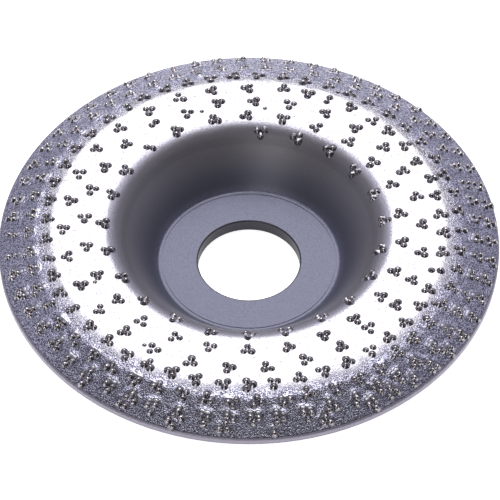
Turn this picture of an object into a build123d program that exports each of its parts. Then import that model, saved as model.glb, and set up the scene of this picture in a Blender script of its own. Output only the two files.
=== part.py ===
from build123d import *
import os
import random
from math import cos, degrees, hypot, pi, radians, sin, tan

# Carving disc for an angle grinder: a depressed-centre steel dish with carbide grains brazed on its
# working face. The origin is on the bore's axis, on the underside of the hub; +Z points to the
# working face. Millimetres.

# --- driving dimensions ---------------------------------------------------------------------------

# steel dish
OUTER_DIAMETER = 107.6
BORE_DIAMETER = 22.23  # 7/8 inch, the standard arbor of this class of grinder
HUB_THICKNESS = 3.2
FACE_HEIGHT = 14.95  # underside of the hub to the top of the working land
PLATE_THICKNESS = 1.8  # steel of the wall, the land and the outer zone
WALL_SLOPE = 52.4  # degrees, of the recess wall
WALL_FOOT_RADIUS = 19.75
FOOT_FILLET = 0.6
UNDER_BEND = 2.0  # rounding where the hub's underside turns up into the wall
SHOULDER_ROUND = 5.3  # working surface, from the recess wall to the land
BROW_RADIUS = 44.2  # where the land's plane and the outer cone would meet
BROW_ROUND = 12.3
OUTER_SLOPE = 23.4  # degrees, of the outer zone
RIM_LAND = 1.3  # height of the upright edge of the rim
RIM_ROUND = 0.4
BORE_EDGE_TOP = 0.15
BORE_EDGE_BOTTOM = 0.3
SEAT_RADIUS = 18.8  # the nut's seat, bounded by a fine turned line
SEAT_LINE_WIDTH = 0.3
SEAT_LINE_DEPTH = 0.12

# braze layer on the working face
COAT_THICKNESS = 0.15
COAT_INNER_RADIUS = 26.3
COAT_OUTER_RADIUS = 53.35

# carbide grains
GRAIN_RADIUS = 0.6
GRAIN_RADIUS_SPREAD = 0.06
STRAY_RADIUS = 0.36
GRAIN_FOOT_LATITUDE = 0  # the ball is cut off here, where it stands in the braze
GRAIN_STAND_OFF = 0.01
CLUSTER_RADIUS = 0.89  # from a cluster's middle to its three grains
CLUSTER_SPREAD = 0.15
GRAIN_TURN_SPREAD = 7  # degrees

# the spiral, seen from above, runs clockwise from the lip of the recess
SPIRAL_START_ANGLE = 84.5  # degrees from +X
SPIRAL_START_PATH = 28.3  # along the section of the working surface, see path_point
COARSE_TURNS = 3
COARSE_PITCH = 4.35  # growth of the path in one turn
COARSE_SPACING = 7.96  # from cluster to cluster along the spiral
FINE_PITCH = 4.03
FINE_SPACING = 5.33
LAST_ROW_PATH = 53.4  # the last turn follows the rim
SPARSE_FROM = 6.39  # turns; from here to the end only every second cluster is there
SPIRAL_TURNS = 6.62
PLACE_SPREAD = 0.22
GRAIN_GAP = 0.04  # least clear distance between two grains
TURN_SPREAD = 20  # degrees

SEED = 11

OUTER_RADIUS = OUTER_DIAMETER / 2
BORE_RADIUS = BORE_DIAMETER / 2
WALL = radians(WALL_SLOPE)
OUTER = radians(OUTER_SLOPE)


# --- section of the dish --------------------------------------------------------------------------


def wall_radius(height, depth=0.0):
    """Radius of the recess wall's straight line at a height, for a layer this deep under it."""
    return WALL_FOOT_RADIUS + (height - HUB_THICKNESS) / tan(WALL) + depth / sin(WALL)


def shoulder_corner(depth):
    """Where the wall and the land would meet in a sharp corner."""
    height = FACE_HEIGHT - depth
    return (wall_radius(height, depth), height)


def brow_corner(depth):
    """Where the land and the outer cone would meet in a sharp corner."""
    return (BROW_RADIUS - depth * tan(OUTER / 2), FACE_HEIGHT - depth)


def cone_height(radius, depth):
    """Height of the outer cone at a radius."""
    return FACE_HEIGHT - (radius - BROW_RADIUS) * tan(OUTER) - depth / cos(OUTER)


def wall_point(radius, depth):
    """Point of the wall at the height where the working surface has the radius."""
    height = HUB_THICKNESS + (radius - WALL_FOOT_RADIUS) * tan(WALL)
    return (radius + depth * sin(WALL), height - depth * cos(WALL))


def cone_point(radius, depth):
    """Point under the outer cone, square to the place where the surface has the radius."""
    return (radius - depth * sin(OUTER), cone_height(radius, 0) - depth * cos(OUTER))


def at_corner(corner):
    """Selects the sketch vertex that lies on a section corner."""
    return lambda v: hypot(v.X - corner[0], v.Y - corner[1]) < 1e-3


def round_corners(sketch, corners):
    """Rounds section corners; corners is a list of (point, radius)."""
    for corner, radius in corners:
        fillet(sketch.vertices().filter_by(at_corner(corner)), radius)


# --- steel dish -----------------------------------------------------------------------------------


def make_dish():
    under = COAT_THICKNESS + PLATE_THICKNESS
    rim_top = cone_height(OUTER_RADIUS, COAT_THICKNESS)
    rim_low = rim_top - RIM_LAND
    bevel = rim_low - cone_height(OUTER_RADIUS, under)
    foot = (WALL_FOOT_RADIUS, HUB_THICKNESS)
    under_foot = (wall_radius(0, under), 0)
    outline = [
        (BORE_RADIUS, 0),
        under_foot,
        shoulder_corner(under),
        brow_corner(under),
        (OUTER_RADIUS - bevel, cone_height(OUTER_RADIUS - bevel, under)),
        (OUTER_RADIUS, rim_low),
        (OUTER_RADIUS, rim_top),
        cone_point(COAT_OUTER_RADIUS, COAT_THICKNESS),
        brow_corner(COAT_THICKNESS),
        shoulder_corner(COAT_THICKNESS),
        wall_point(COAT_INNER_RADIUS, COAT_THICKNESS),
        wall_point(COAT_INNER_RADIUS, 0),
        foot,
        (BORE_RADIUS, HUB_THICKNESS),
    ]
    rounds = [
        (under_foot, UNDER_BEND),
        (shoulder_corner(under), SHOULDER_ROUND - under),
        (brow_corner(under), BROW_ROUND - under),
        ((OUTER_RADIUS, rim_top), RIM_ROUND),
        (brow_corner(COAT_THICKNESS), BROW_ROUND - COAT_THICKNESS),
        (shoulder_corner(COAT_THICKNESS), SHOULDER_ROUND - COAT_THICKNESS),
        (foot, FOOT_FILLET),
    ]
    with BuildPart() as dish:
        with BuildSketch(Plane.XZ) as section:
            with BuildLine():
                Polyline(*outline, close=True)
            make_face()
            round_corners(section, rounds)
        revolve(axis=Axis.Z)
        bore_edges = dish.edges().filter_by(GeomType.CIRCLE)
        bore_edges = bore_edges.filter_by(lambda e: abs(e.radius - BORE_RADIUS) < 1e-3)
        chamfer(bore_edges.sort_by(Axis.Z)[-1], BORE_EDGE_TOP)
        chamfer(bore_edges.sort_by(Axis.Z)[0], BORE_EDGE_BOTTOM)
        with BuildSketch(Plane.XZ):
            with Locations((SEAT_RADIUS + SEAT_LINE_WIDTH / 2, HUB_THICKNESS)):
                Rectangle(SEAT_LINE_WIDTH, 2 * SEAT_LINE_DEPTH)
        revolve(axis=Axis.Z, mode=Mode.SUBTRACT)
    return dish


dish_plate = make_dish()
dish_plate.part.label = "dish_plate"


# --- braze layer ----------------------------------------------------------------------------------


def make_coat():
    outline = [
        wall_point(COAT_INNER_RADIUS, 0),
        shoulder_corner(0),
        brow_corner(0),
        cone_point(COAT_OUTER_RADIUS, 0),
        cone_point(COAT_OUTER_RADIUS, COAT_THICKNESS),
        brow_corner(COAT_THICKNESS),
        shoulder_corner(COAT_THICKNESS),
        wall_point(COAT_INNER_RADIUS, COAT_THICKNESS),
    ]
    rounds = [
        (shoulder_corner(0), SHOULDER_ROUND),
        (brow_corner(0), BROW_ROUND),
        (shoulder_corner(COAT_THICKNESS), SHOULDER_ROUND - COAT_THICKNESS),
        (brow_corner(COAT_THICKNESS), BROW_ROUND - COAT_THICKNESS),
    ]
    with BuildPart() as coat:
        with BuildSketch(Plane.XZ) as section:
            with BuildLine():
                Polyline(*outline, close=True)
            make_face()
            round_corners(section, rounds)
        revolve(axis=Axis.Z)
    return coat


braze_coat = make_coat()
braze_coat.part.label = "braze_coat"


# --- working surface as a path --------------------------------------------------------------------

# The path runs along the section of the working surface: wall, shoulder, land, brow, outer cone.
# It equals the radius at PATH_ZERO_RADIUS, which is on the straight part of the wall.
PATH_ZERO_RADIUS = 27.0
SHOULDER_START = SHOULDER_ROUND * tan(WALL / 2)
BROW_START = BROW_ROUND * tan(OUTER / 2)
LAND_START = shoulder_corner(0)[0] + SHOULDER_START
LAND_END = BROW_RADIUS - BROW_START
WALL_END = LAND_START - SHOULDER_ROUND * sin(WALL)
LAND_START_PATH = PATH_ZERO_RADIUS + (WALL_END - PATH_ZERO_RADIUS) / cos(WALL) + SHOULDER_ROUND * WALL


def path_point(path):
    """Radius, height and downhill slope (radians, positive outwards) of a point on the path."""
    along = path - LAND_START_PATH
    if along < 0:
        slope = min(-along / SHOULDER_ROUND, WALL)
        rest = -along - slope * SHOULDER_ROUND
        radius = LAND_START - SHOULDER_ROUND * sin(slope) - rest * cos(WALL)
        height = FACE_HEIGHT - SHOULDER_ROUND * (1 - cos(slope)) - rest * sin(WALL)
        return radius, height, -slope
    along -= LAND_END - LAND_START
    if along < 0:
        return LAND_END + along, FACE_HEIGHT, 0.0
    slope = min(along / BROW_ROUND, OUTER)
    rest = along - slope * BROW_ROUND
    radius = LAND_END + BROW_ROUND * sin(slope) + rest * cos(OUTER)
    height = FACE_HEIGHT - BROW_ROUND * (1 - cos(slope)) - rest * sin(OUTER)
    return radius, height, slope


# --- carbide grains -------------------------------------------------------------------------------


def spiral_path(turns):
    """Path of the spiral after a number of turns."""
    coarse = min(turns, COARSE_TURNS)
    path = SPIRAL_START_PATH + COARSE_PITCH * coarse + FINE_PITCH * (turns - coarse)
    return min(path, LAST_ROW_PATH)


def cluster_places():
    """Turn count, angle (degrees) and path of each cluster's middle along the spiral."""
    places = []
    turns = 0.0
    while turns < SPIRAL_TURNS:
        path = spiral_path(turns)
        places.append((turns, SPIRAL_START_ANGLE - 360 * turns, path))
        spacing = COARSE_SPACING if turns < COARSE_TURNS else FINE_SPACING
        if turns > SPARSE_FROM:
            spacing *= 2
        turns += spacing / (2 * pi * path_point(path)[0])
    return places


def seat(angle, path):
    """Location on the working surface, with Z square to it."""
    radius, height, slope = path_point(path)
    spot = Plane(
        origin=(radius * cos(radians(angle)), radius * sin(radians(angle)), height),
        x_dir=(cos(slope) * cos(radians(angle)), cos(slope) * sin(radians(angle)), -sin(slope)),
        z_dir=(sin(slope) * cos(radians(angle)), sin(slope) * sin(radians(angle)), cos(slope)),
    )
    return spot.offset(GRAIN_STAND_OFF).location


def cluster_seats(rng, number, turns, angle, path):
    """Seats of the three grains of one cluster.

    In the coarse turns the third grain points along the spiral. In the fine turns it points
    inwards and outwards by turns.
    """
    pointing = 90 if turns < COARSE_TURNS else (0 if number % 2 else 180)
    pointing += rng.gauss(0, TURN_SPREAD)
    angle += degrees(rng.gauss(0, PLACE_SPREAD) / path_point(path)[0])
    path += rng.gauss(0, PLACE_SPREAD)
    seats = []
    for grain in range(3):
        turn = radians(pointing + 120 * grain + rng.gauss(0, GRAIN_TURN_SPREAD))
        reach = CLUSTER_RADIUS + rng.uniform(-CLUSTER_SPREAD, CLUSTER_SPREAD)
        grain_path = path + reach * cos(turn)
        across = degrees(reach * sin(turn) / path_point(grain_path)[0])
        seats.append(seat(angle + across, grain_path))
    return seats


def make_grains(seats_by_radius):
    """One group of separate grains: balls cut off flat where they stand in the braze."""
    with BuildPart() as grains:
        for radius, seats in seats_by_radius.items():
            with Locations(*seats):
                Sphere(
                    radius,
                    arc_size1=GRAIN_FOOT_LATITUDE,
                    align=(Align.CENTER, Align.CENTER, Align.MIN),
                )
    return grains


def keep_clear(grain_seat, radius, standing):
    """Adds a grain to the standing ones unless it would touch one of them; tells whether it did."""
    spot = grain_seat.position
    for other, other_radius in standing:
        if (spot - other).length < radius + other_radius + GRAIN_GAP:
            return False
    standing.append((spot, radius))
    return True


def sort_turns(standing):
    """Seats of the clusters' grains, sorted by turn of the spiral and by grain radius."""
    rng = random.Random(SEED)
    sizes = [GRAIN_RADIUS + step * GRAIN_RADIUS_SPREAD for step in (-1, 0, 1)]
    turns_seats = {}
    for number, (turns, angle, path) in enumerate(cluster_places()):
        by_radius = turns_seats.setdefault(int(turns) + 1, {size: [] for size in sizes})
        for grain_seat in cluster_seats(rng, number, turns, angle, path):
            size = rng.choice(sizes)
            if keep_clear(grain_seat, size, standing):
                by_radius[size].append(grain_seat)
    return turns_seats


# single small grains between the turns: (angle in degrees, path)
STRAYS = [(84, 34.9), (107.5, 35.4), (236.5, 39.9), (292, 42.3), (12, 37.2), (158, 41.4), (331, 44.9),
          (63, 44.6), (206, 36.8)]

standing_grains = []
carbide_turns = []
for turn_number, seats_by_radius in sort_turns(standing_grains).items():
    turn_grains = make_grains(seats_by_radius)
    turn_grains.part.label = f"carbide_turn_{turn_number}"
    carbide_turns.append(turn_grains)

stray_seats = [seat(angle, path) for angle, path in STRAYS]
stray_seats = [spot for spot in stray_seats if keep_clear(spot, STRAY_RADIUS, standing_grains)]
stray_grains = make_grains({STRAY_RADIUS: stray_seats})
stray_grains.part.label = "stray_grains"


# --- files ----------------------------------------------------------------------------------------

os.makedirs("parts", exist_ok=True)
for piece in [dish_plate, braze_coat, *carbide_turns, stray_grains]:
    export_step(piece.part, f"parts/{piece.part.label}.step")
    print(piece.part.label, len(piece.part.solids()), "solids")
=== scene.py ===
"""Looks of an angle grinder carving disc, built round its CAD model.

The disc is a depressed-centre steel dish. Its working face is covered with a silvery braze that
holds hard carbide grains, set in clusters of three along one spiral. The steel dish keeps its CAD
mesh; the braze layer and the grains are modelled here. Metres, +Z to the working face.
"""

import sys

import logging
import math
import random
from collections.abc import Iterator, Sequence
from dataclasses import dataclass, field
from enum import Enum
from typing import Any, ClassVar, Union

import bmesh
import bpy
from mathutils import Matrix, Vector, bvhtree, kdtree, noise


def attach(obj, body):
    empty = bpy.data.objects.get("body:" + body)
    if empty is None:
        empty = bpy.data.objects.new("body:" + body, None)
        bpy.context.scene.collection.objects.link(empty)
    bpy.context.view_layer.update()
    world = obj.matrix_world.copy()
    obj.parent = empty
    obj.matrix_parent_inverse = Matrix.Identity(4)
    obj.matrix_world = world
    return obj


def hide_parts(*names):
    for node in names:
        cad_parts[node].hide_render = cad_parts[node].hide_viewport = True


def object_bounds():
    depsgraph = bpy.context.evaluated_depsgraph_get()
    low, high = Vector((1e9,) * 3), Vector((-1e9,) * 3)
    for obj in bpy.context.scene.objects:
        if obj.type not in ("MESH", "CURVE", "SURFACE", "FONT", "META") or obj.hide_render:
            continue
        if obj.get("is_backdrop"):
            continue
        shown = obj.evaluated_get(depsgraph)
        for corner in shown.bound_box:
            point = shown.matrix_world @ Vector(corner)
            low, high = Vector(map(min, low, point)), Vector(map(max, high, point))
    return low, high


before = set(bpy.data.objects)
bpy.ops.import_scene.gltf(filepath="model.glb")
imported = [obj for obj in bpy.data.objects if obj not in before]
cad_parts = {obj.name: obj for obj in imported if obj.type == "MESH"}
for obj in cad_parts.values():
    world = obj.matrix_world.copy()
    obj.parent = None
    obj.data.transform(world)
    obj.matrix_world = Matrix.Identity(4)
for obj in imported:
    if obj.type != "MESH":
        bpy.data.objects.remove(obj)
cad_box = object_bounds()

MM = 0.001
SEED = 5
CREASE = math.radians(50)
MERGE = 0.002 * MM

log = logging.getLogger("carving_disc")

Number = Union[int, float]
Triple = tuple[float, float, float]
Colour = tuple[float, float, float, float]


class Slot(Enum):
    """The record's material slots."""

    STEEL = "steel"
    BRAZE = "braze"
    CARBIDE = "carbide"


# --- shader building ------------------------------------------------------------------------------


class Sock:
    """An output socket with arithmetic: an expression on values adds Math nodes."""

    def __init__(self, tree: bpy.types.NodeTree, socket: bpy.types.NodeSocket) -> None:
        """Wraps a socket of a tree."""
        self.tree = tree
        self.socket = socket

    def _math(self, operation: str, *values: Union["Sock", Number]) -> "Sock":
        """Adds a Math node.

        Args:
            operation: The node's operation.
            values: Its inputs, in order.

        Returns:
            The node's output.
        """
        node = self.tree.nodes.new("ShaderNodeMath")
        node.operation = operation
        for place, value in zip(node.inputs, values):
            if isinstance(value, Sock):
                self.tree.links.new(value.socket, place)
            else:
                place.default_value = value
        return Sock(self.tree, node.outputs[0])

    def __add__(self, other: Union["Sock", Number]) -> "Sock":
        """Sum."""
        return self._math("ADD", self, other)

    __radd__ = __add__

    def __sub__(self, other: Union["Sock", Number]) -> "Sock":
        """Difference."""
        return self._math("SUBTRACT", self, other)

    def __rsub__(self, other: Number) -> "Sock":
        """Difference from a number."""
        return self._math("SUBTRACT", other, self)

    def __mul__(self, other: Union["Sock", Number]) -> "Sock":
        """Product."""
        return self._math("MULTIPLY", self, other)

    __rmul__ = __mul__

    def __truediv__(self, other: Union["Sock", Number]) -> "Sock":
        """Quotient."""
        return self._math("DIVIDE", self, other)

    def step(self, start: float, end: float) -> "Sock":
        """Smooth step from 0 at start to 1 at end."""
        node = self.tree.nodes.new("ShaderNodeMapRange")
        node.interpolation_type = "SMOOTHSTEP"
        self.tree.links.new(self.socket, node.inputs["Value"])
        node.inputs["From Min"].default_value = start
        node.inputs["From Max"].default_value = end
        return Sock(self.tree, node.outputs[0])


class Shading:
    """A node tree being built: of a material, or of the world."""

    def __init__(self, tree: bpy.types.NodeTree) -> None:
        """Empties the tree."""
        self.tree = tree
        tree.nodes.clear()

    def node(
        self,
        kind: str,
        settings: dict[str, Any] | None = None,
        values: dict[str, Any] | None = None,
        output: Union[int, str] = 0,
    ) -> Sock | None:
        """Adds a node.

        Args:
            kind: The node's type, without its ShaderNode start.
            settings: Properties of the node, set before its sockets.
            values: Numbers, colours or Socks for its inputs, by name or index.
            output: Which output is wanted.

        Returns:
            The wanted output, or None from a node that ends the tree.
        """
        made = self.tree.nodes.new("ShaderNode" + kind)
        for name, value in (settings or {}).items():
            setattr(made, name, value)
        for name, value in (values or {}).items():
            place = made.inputs[name]
            if isinstance(value, Sock):
                self.tree.links.new(value.socket, place)
            else:
                place.default_value = value
        return Sock(self.tree, made.outputs[output]) if len(made.outputs) else None

    def place(self) -> Sock:
        """The piece's own Object coordinates."""
        return self.node("TexCoord", output="Object")

    def noise(self, where: Sock, scale: float, detail: float = 2.0, roughness: float = 0.5) -> Sock:
        """A noise pattern from 0 to 1, with this many features to the metre."""
        values = {"Vector": where, "Scale": scale, "Detail": detail, "Roughness": roughness}
        return self.node("TexNoise", values=values)

    def mix(
        self, factor: Union[Sock, float], low: Union[Sock, Colour], high: Union[Sock, Colour]
    ) -> Sock:
        """Colour from low, where the factor is 0, to high, where it is 1."""
        settings = {"data_type": "RGBA", "clamp_factor": True}
        return self.node("Mix", settings, {0: factor, 6: low, 7: high}, output=2)

    def radius(self, where: Sock) -> Sock:
        """Distance from the disc's axis."""
        flat = self.node("VectorMath", {"operation": "MULTIPLY"}, {0: where, 1: (1, 1, 0)})
        return self.node("VectorMath", {"operation": "LENGTH"}, {0: flat}, output="Value")

    def rings(self, radius: Sock, scale: float) -> Sock:
        """Concentric turning marks: a noise that varies with the radius only."""
        settings = {"noise_dimensions": "1D"}
        return self.node("TexNoise", settings, {"W": radius, "Scale": scale, "Detail": 3.0})

    def bump(
        self, height: Sock, distance: float, strength: float = 1.0, under: Sock | None = None
    ) -> Sock:
        """A normal bent by a height pattern, on top of another bump if one is given."""
        values = {"Height": height, "Distance": distance, "Strength": strength}
        if under is not None:
            values["Normal"] = under
        return self.node("Bump", values=values)


def new_material(name: str) -> tuple[bpy.types.Material, Shading]:
    """Makes an empty node material.

    Args:
        name: The finish's name.

    Returns:
        The material and its tree.
    """
    material = bpy.data.materials.new(name)
    material.use_nodes = True
    return material, Shading(material.node_tree)


def surface(shading: Shading, **inputs: Any) -> None:
    """Ends a tree in a Principled surface.

    Args:
        shading: The tree.
        inputs: Values or links, by socket name with _ for a space.
    """
    values = {name.replace("_", " "): value for name, value in inputs.items()}
    shader = shading.node("BsdfPrincipled", values=values)
    shading.node("OutputMaterial", values={"Surface": shader})


# --- finishes -------------------------------------------------------------------------------------


@dataclass(frozen=True)
class SatinSteel:
    """Blue-grey satin of the dish, turned; duller on the wall, paler at the rim; painted shade darkens
    the wall's foot and makes the bore near black.
    """

    light: Colour = (0.178, 0.185, 0.25, 1)
    dark: Colour = (0.11, 0.116, 0.16, 1)
    wall: Colour = (0.225, 0.216, 0.236, 1)
    # Painted shade: a darker band at the foot of the wall, in the corner by the hub.
    foot: Colour = (0.11, 0.113, 0.15, 1)
    # Painted shade: the bore is coloured near black for the shade inside it.
    bore: Colour = (0.018, 0.016, 0.028, 1)
    rim: Colour = (0.31, 0.29, 0.355, 1)
    rim_foot: Colour = (0.17, 0.145, 0.165, 1)
    rim_low: float = 8.9 * MM
    rim_high: float = 9.8 * MM
    bore_radius: float = 11.35 * MM
    rim_radius: float = 53.3 * MM
    hub_top: float = 3.4 * MM
    wall_foot: float = 5.0 * MM
    wall_top: float = 12.0 * MM
    rim_fade: float = 0.3 * MM
    bore_fade: float = 0.12 * MM
    ring_relief: float = 0.004 * MM
    grain_relief: float = 0.012 * MM
    metal: float = 0.35
    shine: float = 0.42

    def material(self) -> bpy.types.Material:
        """Builds the material."""
        made, s = new_material("satin_steel")
        where = s.place()
        radius = s.radius(where)
        grain = s.noise(where, 3600, 3)
        cloud = s.noise(where, 160, 4)
        rings = s.rings(radius, 4200)
        mottle = (cloud * 0.2 + grain * 0.6 + rings * 0.2).step(0.34, 0.66)
        tone = s.mix(mottle, self.dark, self.light)
        height = s.node("SeparateXYZ", values={0: where}, output="Z")
        # Painted shade darkens the foot of the wall, where it meets the hub.
        tone = s.mix(height.step(self.hub_top, self.wall_foot), tone, self.foot)
        tone = s.mix(height.step(self.wall_foot, self.wall_top) * (0.6 + 0.8 * grain), tone, self.wall)
        rim = s.mix(height.step(self.rim_low, self.rim_high), self.rim_foot, self.rim)
        tone = s.mix(radius.step(self.rim_radius, self.rim_radius + self.rim_fade), tone, rim)
        # Painted shade: the bore is coloured near black.
        bore_shade = 1 - radius.step(self.bore_radius, self.bore_radius + self.bore_fade)
        tone = s.mix(bore_shade, tone, self.bore)
        rough = self.shine + 0.12 * (grain - 0.5) + 0.1 * (rings - 0.5) + 0.1 * (cloud - 0.5)
        normal = s.bump(rings, self.ring_relief)
        normal = s.bump(grain, self.grain_relief, 0.6, normal)
        surface(s, Base_Color=tone, Metallic=self.metal, Roughness=rough, Normal=normal)
        return made


@dataclass(frozen=True)
class SpeckledBraze:
    """Bright silvery braze, finely speckled.

    It is a dull film where it runs down the wall, and a darker gritty film on the outer cone,
    except where it has pooled at the grains. Pooled braze is near white: its own brighter braze
    and in part a painted highlight. A duller bluish band over the lip is painted shade.
    """

    light: Colour = (0.36, 0.355, 0.36, 1)
    dark: Colour = (0.15, 0.143, 0.175, 1)
    grit_light: Colour = (0.61, 0.605, 0.71, 1)
    grit_dark: Colour = (0.11, 0.107, 0.145, 1)
    # Near white of pooled braze: its own brighter braze, and in part a painted highlight.
    pooled: Colour = (0.95, 0.94, 0.95, 1)
    # Painted shade: the duller bluish tone of a band over the rounded lip.
    lip_shade: Colour = (0.36, 0.345, 0.42, 1)
    film: Colour = (0.205, 0.196, 0.216, 1)
    film_radius: float = 28.3 * MM
    clean_radius: float = 29.9 * MM
    brow_start: float = 41.0 * MM
    grit_start: float = 43.1 * MM
    grit_full: float = 45.8 * MM
    lip_shade_strength: float = 0.5
    lip_shade_start: float = 29.6 * MM
    lip_shade_end: float = 31.8 * MM
    film_wander: float = 1.2 * MM
    fine_scatter: float = 9 * MM
    lump_scatter: float = 4 * MM
    patch_scatter: float = 6 * MM
    shine: float = 0.16
    lumps: float = 0.03 * MM
    speckle: float = 0.036 * MM

    def material(self) -> bpy.types.Material:
        """Builds the material."""
        made, s = new_material("speckled_braze")
        where = s.place()
        radius = s.radius(where)
        fine = s.noise(where, 3300, 2, 0.6)
        lump = s.noise(where, 1700, 3, 0.55)
        patch = s.noise(where, 260, 3)
        pool = s.node("Attribute", {"attribute_name": BrazeSkin.pool_name}, output="Fac")
        bend = radius.step(self.brow_start, self.grit_full)
        pits = (fine * 0.75 + lump * 0.25 - 0.07 * bend).step(0.32, 0.50)
        film = 1 - (radius + self.film_wander * (patch - 0.5)).step(self.film_radius, self.clean_radius)
        scatter = self.fine_scatter * (fine - 0.5)
        scatter = scatter + self.lump_scatter * (lump - 0.5) + self.patch_scatter * (patch - 0.5)
        gritty = (radius + scatter).step(self.grit_start, self.grit_full)
        gritty = gritty * (1 - (pool + 0.3 * (fine - 0.5)).step(0.2, 0.34))
        # Painted shade: a duller band over the rounded lip, outside the wall's film.
        lip_shade = 1 - (radius + 0.4 * scatter).step(self.lip_shade_start, self.lip_shade_end)
        lip_shade = self.lip_shade_strength * lip_shade * (1 - film)
        grit = s.mix((fine * 0.8 + lump * 0.2).step(0.40, 0.60), self.grit_dark, self.grit_light)
        tone = s.mix(pits, self.dark, self.light)
        tone = s.mix(gritty, tone, grit)
        # Where braze has pooled it turns near white: its own brighter braze and in part a painted
        # highlight.
        pooled_and_highlight = pool.step(0.27, 0.43)
        tone = s.mix(pooled_and_highlight, tone, self.pooled)
        tone = s.mix(film, tone, self.film)
        tone = s.mix(lip_shade, tone, self.lip_shade)
        metal = 1 - 0.65 * (film + lip_shade)
        rough = self.shine + 0.12 * (1 - pits) + 0.1 * (patch - 0.4)
        rough = rough + 0.06 * gritty + 0.1 * pooled_and_highlight + 0.4 * (1 - metal)
        calm = 1 - 0.85 * pool.step(0.2, 0.4)
        normal = s.bump(lump * calm, self.lumps)
        normal = s.bump(fine * calm * (0.35 + 1.65 * gritty), self.speckle, 1.0, normal)
        surface(s, Base_Color=tone, Metallic=metal, Roughness=rough, Normal=normal)
        return made


@dataclass(frozen=True)
class WettedBraze:
    """Smooth braze drawn up round the foot of each grain."""

    light: Colour = (0.42, 0.41, 0.44, 1)
    dark: Colour = (0.16, 0.15, 0.17, 1)
    relief: float = 0.02 * MM
    shine: float = 0.2

    def material(self) -> bpy.types.Material:
        """Builds the material."""
        made, s = new_material("wetted_braze")
        where = s.place()
        lump = s.noise(where, 2600, 3)
        tone = s.mix(lump.step(0.3, 0.7), self.dark, self.light)
        rough = self.shine + 0.2 * (lump - 0.4)
        surface(s, Base_Color=tone, Metallic=1.0, Roughness=rough, Normal=s.bump(lump, self.relief))
        return made


@dataclass(frozen=True)
class HardCarbide:
    """Dark, glossy carbide with a fused skin."""

    light: Colour = (0.78, 0.72, 0.7, 1)
    dark: Colour = (0.1, 0.09, 0.092, 1)
    relief: float = 0.02 * MM
    fine_relief: float = 0.002 * MM
    shine: float = 0.1

    def material(self) -> bpy.types.Material:
        """Builds the material."""
        made, s = new_material("hard_carbide")
        where = s.place()
        lump = s.noise(where, 2100, 3)
        fine = s.noise(where, 9000, 2)
        tone = s.mix((lump * 0.7 + fine * 0.3).step(0.38, 0.66), self.dark, self.light)
        normal = s.bump(lump, self.relief)
        normal = s.bump(fine, self.fine_relief, 1.0, normal)
        rough = self.shine + 0.15 * (fine - 0.4)
        surface(s, Base_Color=tone, Metallic=0.9, Roughness=rough, Normal=normal)
        return made


@dataclass(frozen=True)
class StudioWhite:
    """Plain white of the studio floor, lit from below round the disc and paler further off."""

    tone: Colour = (0.95, 0.95, 0.95, 1)
    far_tone: Colour = (0.55, 0.57, 0.66, 1)
    glow: float = 0.9
    far_glow: float = 0.35
    bright_radius: float = 0.12
    far_radius: float = 0.4

    def material(self) -> bpy.types.Material:
        """Builds the material."""
        made, s = new_material("studio_white")
        far = s.radius(s.place()).step(self.bright_radius, self.far_radius)
        glow = s.mix(far, self.tone, tuple(self.far_glow * part for part in self.far_tone))
        tone = s.mix(far, self.tone, self.far_tone)
        surface(s, Base_Color=tone, Roughness=1.0, Emission_Color=glow, Emission_Strength=self.glow)
        return made


# --- mesh helpers ---------------------------------------------------------------------------------


def mesh_piece(
    name: str, shape: bmesh.types.BMesh, finishes: Sequence[bpy.types.Material]
) -> bpy.types.Object:
    """Turns a finished bmesh into a smooth-shaded piece, sharp at its creases, at the origin.

    Args:
        name: The piece's name.
        shape: Its shape, which is freed.
        finishes: Its materials, in the order of the faces' material numbers.

    Returns:
        The new object, in the scene.
    """
    mesh = bpy.data.meshes.new(name)
    shape.to_mesh(mesh)
    shape.free()
    mesh.shade_smooth()
    mesh.set_sharp_from_angle(angle=CREASE)
    for finish in finishes:
        mesh.materials.append(finish)
    piece = bpy.data.objects.new(name, mesh)
    bpy.context.scene.collection.objects.link(piece)
    return piece


def merged_copy(node: str) -> bmesh.types.BMesh:
    """A copy of a CAD node's mesh with its loose triangles joined."""
    shape = bmesh.new()
    shape.from_mesh(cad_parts[node].data)
    bmesh.ops.remove_doubles(shape, verts=shape.verts, dist=MERGE)
    return shape


def islands(shape: bmesh.types.BMesh) -> Iterator[list[bmesh.types.BMVert]]:
    """Walks over the separate shells of a mesh, as lists of vertices."""
    seen: set[int] = set()
    shape.verts.index_update()
    for start in shape.verts:
        if start.index in seen:
            continue
        seen.add(start.index)
        shell = [start]
        for vert in shell:
            for edge in vert.link_edges:
                other = edge.other_vert(vert)
                if other.index not in seen:
                    seen.add(other.index)
                    shell.append(other)
        yield shell


# --- grains ---------------------------------------------------------------------------------------


@dataclass(frozen=True)
class GrainSeat:
    """Where one carbide grain stands, read from its CAD solid."""

    middle: Vector
    foot: Vector
    up: Vector
    radius: float

    def matrix(self, turn: float) -> Matrix:
        """Places a grain of radius 1 on the seat, turned about its upright."""
        stand = self.up.to_track_quat("Z", "Y").to_matrix().to_4x4()
        turned = Matrix.Translation(self.middle) @ stand @ Matrix.Rotation(turn, 4, "Z")
        return turned @ Matrix.Scale(self.radius, 4)


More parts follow.
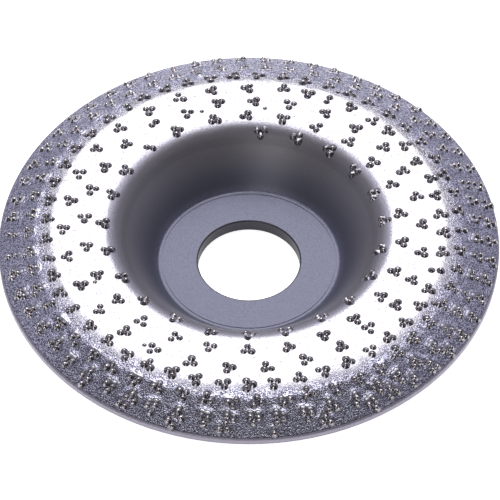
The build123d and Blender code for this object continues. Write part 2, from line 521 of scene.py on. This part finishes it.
class GrainMap:
    """All grains' seats, by CAD node, and how they lie to one another."""

    def __init__(self, nodes: Sequence[str], coat: str) -> None:
        """Reads the seats.

        Args:
            nodes: The CAD nodes that hold the grains.
            coat: The CAD node of the layer that they stand in.
        """
        ground = merged_copy(coat)
        tree = bvhtree.BVHTree.FromBMesh(ground)
        ground.free()
        self.seats: dict[str, list[GrainSeat]] = {}
        for node in nodes:
            shape = merged_copy(node)
            self.seats[node] = [self._seat(shell, tree) for shell in islands(shape)]
            shape.free()
        every = self.every()
        self.near = kdtree.KDTree(len(every))
        for number, seat in enumerate(every):
            self.near.insert(seat.foot, number)
        self.near.balance()

    @staticmethod
    def _seat(shell: list[bmesh.types.BMVert], tree: bvhtree.BVHTree) -> GrainSeat:
        """Works out one grain's seat: its ball's middle and radius, and the ground under it.

        Args:
            shell: The vertices of the CAD solid, a ball cut off flat at its foot.
            tree: The layer that it stands on.

        Returns:
            The seat.
        """
        points = [vert.co for vert in shell]
        mean = sum(points, Vector()) / len(points)
        foot, _, _, _ = tree.find_nearest(mean)
        up = (mean - foot).normalized()
        highest = max((p - foot).dot(up) for p in points)
        widest = max(((p - foot) - up * (p - foot).dot(up)).length for p in points)
        middle = foot + up * (highest - widest)
        return GrainSeat(middle, foot, up, widest)

    def every(self) -> list[GrainSeat]:
        """All seats of all nodes, in the nodes' order."""
        return [seat for seats in self.seats.values() for seat in seats]


@dataclass
class GrainShape:
    """Shape of the grains: rounded lumps with braze drawn up round their feet.

    Lengths are in the grain's radius; heights are from the middle of its ball.
    """

    variants: int = 14
    lumpiness: float = 0.07
    tilt: float = 1.2
    cut_height: float = 0.42
    skirt: Sequence[tuple[float, float]] = ((1.04, -0.14), (1.24, -0.2), (1.55, -0.25))
    braze_index: int = 1
    templates: list[bpy.types.Mesh] = field(default_factory=list)

    def build(self, rng: random.Random) -> None:
        """Makes the variants that all grains are copied from."""
        self.templates = [self._variant(rng, number) for number in range(self.variants)]

    def _variant(self, rng: random.Random, number: int) -> bpy.types.Mesh:
        """Makes one variant.

        Args:
            rng: Source of its unevenness.
            number: Its number, for its name.

        Returns:
            A mesh of radius 1, closed.
        """
        shape = bmesh.new()
        bmesh.ops.create_icosphere(shape, subdivisions=2, radius=1.0)
        turn = Matrix.Rotation(rng.uniform(0, math.tau), 3, "Z")
        turn = turn @ Matrix.Rotation(rng.uniform(0, self.tilt), 3, "X")
        bmesh.ops.rotate(shape, verts=shape.verts, matrix=turn)
        for vert in shape.verts:
            vert.co *= 1 - self.lumpiness * rng.random()
        bmesh.ops.bisect_plane(
            shape,
            geom=[*shape.verts, *shape.edges, *shape.faces],
            plane_co=(0, 0, self.cut_height),
            plane_no=(0, 0, 1),
            clear_inner=True,
        )
        rim = [edge for edge in shape.edges if edge.is_boundary]
        for reach, drop in self.skirt:
            rim = self._flare(shape, rim, reach, drop)
        bmesh.ops.edgeloop_fill(shape, edges=rim, mat_nr=self.braze_index)
        bmesh.ops.recalc_face_normals(shape, faces=shape.faces)
        mesh = bpy.data.meshes.new(f"grain_variant_{number}")
        shape.to_mesh(mesh)
        shape.free()
        return mesh

    def _flare(
        self, shape: bmesh.types.BMesh, rim: list[bmesh.types.BMEdge], reach: float, drop: float
    ) -> list[bmesh.types.BMEdge]:
        """Extrudes the open rim outwards and down.

        Args:
            shape: The grain.
            rim: Its open edges.
            reach: Radius of the new rim.
            drop: How far the new rim is below the last, as a negative height.

        Returns:
            The new rim.
        """
        made = bmesh.ops.extrude_edge_only(shape, edges=rim)["geom"]
        for vert in (part for part in made if isinstance(part, bmesh.types.BMVert)):
            flat = vert.co.to_2d().normalized() * reach
            vert.co = Vector((flat.x, flat.y, vert.co.z + drop))
        for face in (part for part in made if isinstance(part, bmesh.types.BMFace)):
            face.material_index = self.braze_index
        return [part for part in made if isinstance(part, bmesh.types.BMEdge) and part.is_boundary]


@dataclass
class GrainRow:
    """One turn of the spiral, or the strays: the grains of one CAD node."""

    node: str
    seats: Sequence[GrainSeat]
    shape: GrainShape

    def build(self, rng: random.Random, finishes: Sequence[bpy.types.Material]) -> bpy.types.Object:
        """Copies a variant to each seat.

        Args:
            rng: Source of the choice of variants and their turn.
            finishes: Carbide, then the braze of the skirts.

        Returns:
            The piece, riding on the disc in place of the CAD node.
        """
        grains = bmesh.new()
        for seat in self.seats:
            before = len(grains.verts)
            grains.from_mesh(rng.choice(self.shape.templates))
            grains.verts.ensure_lookup_table()
            matrix = seat.matrix(rng.uniform(0, math.tau))
            bmesh.ops.transform(grains, matrix=matrix, verts=grains.verts[before:])
        piece = mesh_piece(self.node + "_grains", grains, finishes)
        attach(piece, "root")
        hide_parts(self.node)
        return piece


# --- braze skin -----------------------------------------------------------------------------------


@dataclass
class BrazeSkin:
    """The braze layer: turned from its section, then raised in lumps and round the grains.

    The section runs down the recess wall, over the shoulder, across the land and down the outer
    cone. Its corners are where the straight parts would meet; each is rounded. On the outer cone
    the braze stands in a puddle on the inner side of each grain, with a moat close round the grain
    that the puddle stays out of.
    """

    pool_name: ClassVar[str] = "pool"

    node: str = "braze_coat"
    thickness: float = 0.15 * MM
    face_height: float = 14.95 * MM
    inner_radius: float = 26.3 * MM
    outer_radius: float = 53.35 * MM
    shoulder_radius: float = 28.799 * MM
    shoulder_round: float = 5.3 * MM
    wall_slope: float = math.radians(52.4)
    brow_radius: float = 44.2 * MM
    brow_round: float = 12.3 * MM
    outer_slope: float = math.radians(23.4)
    cell: float = 0.34 * MM
    under_shoulder_cells: float = 3
    under_brow_cells: float = 4
    steps: int = 930
    puddle_reach: float = 0.78 * MM
    puddle_height: float = 0.56 * MM
    moat_reach: float = 0.8 * MM
    puddle_from: float = 41.5 * MM
    puddle_full: float = 45.5 * MM
    puddle_shift: float = 0.95 * MM
    puddle_crowd: float = 1.4
    moat_depth: float = 0.9
    cut_off: float = 2.4
    lump_height: float = 0.012 * MM
    lump_size: float = 1.5 * MM
    edge_fade: float = 0.7 * MM

    def build(self, grains: GrainMap, finish: bpy.types.Material) -> bpy.types.Object:
        """Builds the skin.

        Args:
            grains: The grains that stand in it.
            finish: Its material.

        Returns:
            The piece, riding on the disc in place of the CAD node.
        """
        skin = bmesh.new()
        self._section(skin)
        self._spin(skin)
        self._raise(skin, grains)
        piece = mesh_piece("braze_skin", skin, [finish])
        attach(piece, "root")
        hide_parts(self.node)
        return piece

    def _corners(self, depth: float) -> list[tuple[float, float]]:
        """Radius and height of the section's four corners, for a line this deep in the layer."""
        wall, outer, face = self.wall_slope, self.outer_slope, self.face_height
        rise = (self.inner_radius - self.shoulder_radius) * math.tan(wall)
        fall = (self.outer_radius - self.brow_radius) * math.tan(outer)
        return [
            (self.inner_radius + depth * math.sin(wall), face + rise - depth * math.cos(wall)),
            (self.shoulder_radius + depth * math.tan(wall / 2), face - depth),
            (self.brow_radius - depth * math.tan(outer / 2), face - depth),
            (self.outer_radius - depth * math.sin(outer), face - fall - depth * math.cos(outer)),
        ]

    def _section(self, skin: bmesh.types.BMesh) -> None:
        """Draws the closed, rounded section in the XZ plane, with an even cell along its top."""
        top = [skin.verts.new((r, 0, z)) for r, z in self._corners(0)]
        low = [skin.verts.new((r, 0, z)) for r, z in reversed(self._corners(self.thickness))]
        loop = top + low
        for here, there in zip(loop, loop[1:] + loop[:1]):
            skin.edges.new((here, there))
        shoulder, brow = self.shoulder_round, self.brow_round
        wall, outer, deep = self.wall_slope, self.outer_slope, self.thickness
        self._round(skin, top[1], shoulder, wall, self.cell)
        self._round(skin, top[2], brow, outer, self.cell)
        self._round(skin, low[2], shoulder - deep, wall, self.under_shoulder_cells * self.cell)
        self._round(skin, low[1], brow - deep, outer, self.under_brow_cells * self.cell)
        upper = self.face_height - self.thickness / 2
        for edge in list(skin.edges):
            length = edge.calc_length()
            middle = (edge.verts[0].co + edge.verts[1].co) / 2
            if length > 1.5 * self.cell and self._is_top(middle, upper):
                bmesh.ops.subdivide_edges(skin, edges=[edge], cuts=round(length / self.cell) - 1)

    def _is_top(self, point: Vector, upper: float) -> bool:
        """Whether a section point is on the top line and not on the bottom one."""
        radius = point.x
        if radius < self.shoulder_radius:
            line = self.face_height + (radius - self.shoulder_radius) * math.tan(self.wall_slope)
            return point.z > line - self.thickness / 2 / math.cos(self.wall_slope)
        if radius > self.brow_radius:
            line = self.face_height - (radius - self.brow_radius) * math.tan(self.outer_slope)
            return point.z > line - self.thickness / 2 / math.cos(self.outer_slope)
        return point.z > upper

    @staticmethod
    def _round(
        skin: bmesh.types.BMesh, corner: bmesh.types.BMVert, radius: float, bend: float, cell: float
    ) -> None:
        """Rounds a corner of the section.

        Args:
            skin: The mesh that holds the section.
            corner: The corner's vertex.
            radius: Radius of the rounding.
            bend: Angle that the section turns by there.
            cell: Length of each of the rounding's edges, about.
        """
        bmesh.ops.bevel(
            skin,
            geom=[corner],
            offset=radius * math.tan(bend / 2),
            offset_type="OFFSET",
            affect="VERTICES",
            segments=max(2, round(radius * bend / cell)),
            profile=0.5,
            material=-1,
        )

    def _spin(self, skin: bmesh.types.BMesh) -> None:
        """Turns the section into the closed layer."""
        bmesh.ops.spin(
            skin,
            geom=[*skin.verts, *skin.edges],
            cent=(0, 0, 0),
            axis=(0, 0, 1),
            dvec=(0, 0, 0),
            angle=math.tau,
            steps=self.steps,
            use_merge=True,
            use_duplicate=False,
        )
        bmesh.ops.remove_doubles(skin, verts=skin.verts, dist=MERGE)
        bmesh.ops.recalc_face_normals(skin, faces=skin.faces)
        skin.normal_update()

    def _raise(self, skin: bmesh.types.BMesh, grains: GrainMap) -> None:
        """Raises the top of the layer, square to itself, and records where braze has pooled."""
        pooled = skin.verts.layers.float.new(self.pool_name)
        upper = self.face_height - self.thickness / 2
        moved = []
        for vert in skin.verts:
            flat = Vector((vert.co.to_2d().length, 0, vert.co.z))
            if not self._is_top(flat, upper):
                continue
            inner = min(1.0, (flat.x - self.inner_radius) / self.edge_fade)
            outer = min(1.0, (self.outer_radius - flat.x) / self.edge_fade)
            height, vert[pooled] = self._height(vert.co, grains)
            moved.append((vert, vert.normal * (height * inner * outer)))
        for vert, shift in moved:
            vert.co += shift

    def _height(self, point: Vector, grains: GrainMap) -> tuple[float, float]:
        """How far the braze stands above the even layer at a point.

        Args:
            point: A point of the even layer.
            grains: The grains; braze pools on their side towards the axis.

        Returns:
            The height, and the share of it that is pooled braze, from 0 to about 1.
        """
        puddle = 0.0
        moat = 0.0
        outward = Vector((point.x, point.y, 0)).normalized() * self.puddle_shift
        for foot, _, _ in grains.near.find_range(point + outward, self.cut_off * self.puddle_reach):
            puddle += math.exp(-(((point + outward - foot).length / self.puddle_reach) ** 2))
        for _, _, distance in grains.near.find_range(point, self.cut_off * self.moat_reach):
            moat += math.exp(-((distance / self.moat_reach) ** 2))
        slope = (point.to_2d().length - self.puddle_from) / (self.puddle_full - self.puddle_from)
        kept = 1 - self.moat_depth * min(1.0, moat)
        pooled = min(1.0, puddle / self.puddle_crowd) * kept * min(1.0, max(0.0, slope))
        lumps = noise.noise(point / self.lump_size) + 0.5 * noise.noise(point / (0.4 * self.lump_size))
        return self.puddle_height * pooled + self.lump_height * lumps, pooled


# --- studio ---------------------------------------------------------------------------------------


@dataclass
class Softbox:
    """A rectangular soft light.

    Attributes:
        name: Its name.
        middle: Its place.
        aim: The point that it faces.
        size: Its width and depth.
        power: Watts.
        tone: Colour of its light.
    """

    name: str
    middle: Triple
    aim: Triple
    size: tuple[float, float]
    power: float
    tone: Triple = (1, 1, 1)

    def build(self) -> bpy.types.Object:
        """Adds the light to the scene."""
        data = bpy.data.lights.new(self.name, "AREA")
        data.shape = "RECTANGLE"
        data.size, data.size_y = self.size
        data.energy = self.power
        data.color = self.tone
        light = bpy.data.objects.new(self.name, data)
        light.location = self.middle
        facing = Vector(self.aim) - Vector(self.middle)
        light.rotation_euler = facing.to_track_quat("-Z", "Y").to_euler()
        bpy.context.scene.collection.objects.link(light)
        return light


@dataclass
class Studio:
    """Camera, floor, lights and surroundings."""

    distance: float = 0.6
    elevation: float = math.radians(49.84)
    lens: float = 200.6
    sensor: float = 36.0
    watched: Triple = (0, 0, 9.51 * MM)
    frame_shift: tuple[float, float] = (0.23 * MM, -1.893 * MM)
    floor_side: float = 6.0
    floor_gap: float = 0.02 * MM
    low_sky: Colour = (0.46, 0.46, 0.56, 1)
    far_sky: Colour = (0.48, 0.47, 0.6, 1)
    high_sky: Colour = (0.13, 0.13, 0.16, 1)
    near_sky: Colour = (0.06, 0.056, 0.066, 1)
    sky_strength: float = 1.0
    softboxes: Sequence[Softbox] = (
        Softbox("overhead_softbox", (0, 0.815, 1.0), (0, 0.815, 0), (0.62, 1.57), 8.4),
        Softbox("wide_panel", (0, 0.7, 1.01), (0, 0.7, 0), (1.7, 0.94), 5.8, (0.9, 0.865, 1)),
        Softbox("back_panel", (0, 2.1, 1.0), (0, 2.1, 0), (1.4, 1.0), 4.0, (0.93, 0.92, 1)),
        Softbox("front_fill", (-0.35, -1.0, 0.75), (0, 0, 0), (0.6, 0.6), 2.6, (1, 0.985, 0.97)),
    )

    def build(self) -> None:
        """Builds the whole studio."""
        self._camera()
        self._floor()
        self._sky()
        for softbox in self.softboxes:
            softbox.build()
        bpy.context.scene.view_settings.view_transform = "Standard"

    def _camera(self) -> None:
        """Stands the camera in front of and above the disc."""
        back = Vector((0, -math.cos(self.elevation), math.sin(self.elevation)))
        up = Vector((0, math.sin(self.elevation), math.cos(self.elevation)))
        right, rise = self.frame_shift
        eye = Vector(self.watched) + back * self.distance
        target = Vector(self.watched) + Vector((right, 0, 0)) + up * rise
        data = bpy.data.cameras.new("camera")
        data.lens = self.lens
        data.sensor_width = self.sensor
        camera = bpy.data.objects.new("camera", data)
        camera.location = eye
        camera.rotation_euler = (target - eye).to_track_quat("-Z", "Y").to_euler()
        bpy.context.scene.collection.objects.link(camera)
        bpy.context.scene.camera = camera

    def _floor(self) -> None:
        """Lays a plain floor a hair under the disc, so the two faces don't coincide."""
        plane = bmesh.new()
        bmesh.ops.create_grid(plane, x_segments=1, y_segments=1, size=self.floor_side / 2)
        bmesh.ops.translate(plane, verts=plane.verts, vec=(0, 0, -self.floor_gap))
        floor = mesh_piece("floor", plane, [StudioWhite().material()])
        floor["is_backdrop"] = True

    def _sky(self) -> None:
        """Surrounds the disc with soft light: brighter low down, darker overhead and in front."""
        world = bpy.data.worlds.new("studio")
        world.use_nodes = True
        bpy.context.scene.world = world
        s = Shading(world.node_tree)
        way = s.node("TexCoord", output="Generated")
        across = s.node("SeparateXYZ", values={0: way}, output="Y")
        height = s.node("SeparateXYZ", values={0: way}, output="Z")
        tone = s.mix(height.step(0.3, 0.95), self.low_sky, self.high_sky)
        tone = s.mix(across.step(0.7, 0.95) * (1 - height.step(0.2, 0.6)), tone, self.far_sky)
        tone = s.mix((0 - across).step(-0.25, 0.5), tone, self.near_sky)
        light = s.node("Background", values={"Color": tone, "Strength": self.sky_strength})
        s.node("OutputWorld", values={"Surface": light})


# --- the disc -------------------------------------------------------------------------------------


@dataclass
class CarvingDisc:
    """The whole disc: steel dish, braze skin and rows of grains."""

    dish: str = "dish_plate"
    coat: str = "braze_coat"

    def build(self, rng: random.Random) -> Iterator[bpy.types.Object]:
        """Builds and dresses each piece in order.

        Args:
            rng: Source of the unevenness.

        Yields:
            Each finished piece.
        """
        yield self._dress_dish()
        rows = sorted(set(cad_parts) - {self.dish, self.coat})
        grains = GrainMap(rows, self.coat)
        yield BrazeSkin(node=self.coat).build(grains, SpeckledBraze().material())
        shape = GrainShape()
        shape.build(rng)
        finishes = [HardCarbide().material(), WettedBraze().material()]
        for node in rows:
            yield GrainRow(node, grains.seats[node], shape).build(rng, finishes)

    def _dress_dish(self) -> bpy.types.Object:
        """Gives the CAD dish its finish."""
        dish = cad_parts[self.dish]
        finish = SatinSteel().material()
        for slot in dish.material_slots:
            slot.material = finish
        return dish


def write_sizes() -> None:
    """Works out the CAD model's box and the visual model's box as plain lists."""
    boxes = {"cad": cad_box, "visual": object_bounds()}
    plain = {name: [list(corner) for corner in box] for name, box in boxes.items()}


def main() -> None:
    """Builds the studio and the disc, and reports each piece."""
    logging.basicConfig(level=logging.INFO, format="%(message)s", stream=sys.stdout)
    Studio().build()
    for piece in CarvingDisc().build(random.Random(SEED)):
        low, high = (Vector(corner) for corner in (piece.bound_box[0], piece.bound_box[6]))
        size = " x ".join(f"{side / MM:.1f}" for side in high - low)
        log.info("%s: %d faces, %s mm", piece.name, len(piece.data.polygons), size)
    write_sizes()


if __name__ == "__main__":
    main()
